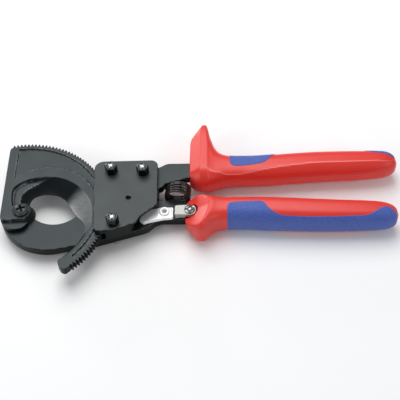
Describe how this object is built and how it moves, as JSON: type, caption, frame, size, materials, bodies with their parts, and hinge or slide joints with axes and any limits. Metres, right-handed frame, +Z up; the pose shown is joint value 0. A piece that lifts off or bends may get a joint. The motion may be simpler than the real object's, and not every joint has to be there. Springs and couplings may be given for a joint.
{
  "type": "cable cutter",
  "caption": "One-hand ratchet cable cutter: hooked toothed blade and crescent jaw in a bolted housing, two grips with finger guards, release lever and opening spring.",
  "frame": {"origin": "middle of the tool's footprint, on the surface that it lies on", "axes": "+X from the jaws to the ends of the grips, +Y towards the moving handle, +Z up out of the front cover"},
  "size_m": [0.2527, 0.1137, 0.0274],
  "materials": {
    "black_steel": "black oxide with a dull oiled sheen",
    "black_cast": "satin black, smooth casting",
    "black_nut": "gloss black",
    "screw_steel": "dark oiled steel",
    "bright_steel": "turned, bright",
    "tool_steel": "hardened and ground",
    "spring_steel": "drawn wire",
    "black_wire": "black-brown drawn wire, oiled",
    "zinc_plate": "bright zinc plated",
    "red_grip": "satin hard plastic",
    "blue_pad": "soft grained plastic"
  },
  "bodies": {
    "frame": {"fixed_jaw_handle": "black_steel", "front_cover": "black_cast", "nose_screw": "screw_steel", "nose_nut": "screw_steel", "nose_washer": "screw_steel", "cover_bolts": "bright_steel", "cover_nuts": "black_nut", "handle_bush": "bright_steel", "retaining_pawl_pin": "bright_steel", "retaining_pawl_spring": "spring_steel", "lever_rivet": "zinc_plate", "lock_pin": "zinc_plate", "opening_spring": "black_wire", "lower_grip": "red_grip", "lower_grip_pad": "blue_pad"},
    "blade": {"moving_blade": "black_steel"},
    "upper_handle": {"moving_handle": "black_steel", "drive_pawl_pin": "bright_steel", "drive_pawl_spring": "spring_steel", "upper_grip": "red_grip", "upper_grip_front_pad": "blue_pad", "upper_grip_end_pad": "blue_pad"},
    "drive_pawl": {"drive_pawl": "tool_steel"},
    "retaining_pawl": {"retaining_pawl": "tool_steel"},
    "release_lever": {"release_lever": "zinc_plate"},
    "lock_plate": {"lock_plate": "zinc_plate"}
  },
  "joints": [
    {"name": "blade_swing", "type": "hinge", "parent": "frame", "child": "blade", "pos_m": [-0.11255, -0.01195, 0.014], "axis": [0, 0, 1], "range_deg": [-87.5, 105]},
    {"name": "handle_squeeze", "type": "hinge", "parent": "frame", "child": "upper_handle", "pos_m": [-0.03655, 0.01505, 0.014], "axis": [0, 0, 1], "range_deg": [0, 25], "deforming": ["opening_spring"]},
    {"name": "drive_pawl_swing", "type": "hinge", "parent": "upper_handle", "child": "drive_pawl", "pos_m": [-0.03255, 0.00105, 0.0126], "axis": [0, 0, 1], "range_deg": [-40, 1], "deforming": ["drive_pawl_spring"]},
    {"name": "lever_press", "type": "hinge", "parent": "frame", "child": "release_lever", "pos_m": [-0.02225, -0.01175, 0.0127], "axis": [0, 0, 1], "range_deg": [-6, 2.6], "stiffness_Nm_per_rad": 0.05},
    {"name": "retaining_pawl_swing", "type": "hinge", "parent": "frame", "child": "retaining_pawl", "pos_m": [-0.04475, -0.00545, 0.0156], "axis": [0, 0, 1], "range_deg": [-3.5, 8.2], "deforming": ["retaining_pawl_spring"]},
    {"name": "lock_swing", "type": "hinge", "parent": "frame", "child": "lock_plate", "pos_m": [-0.00635, -0.01115, 0.014], "axis": [0, 0, 1], "range_deg": [-35, 0]}
  ],
  "couplings": [
    {"joint": "drive_pawl_swing", "follows": "handle_squeeze", "ratio": -1.52},
    {"joint": "retaining_pawl_swing", "follows": "lever_press", "ratio": -1.3}
  ]
}
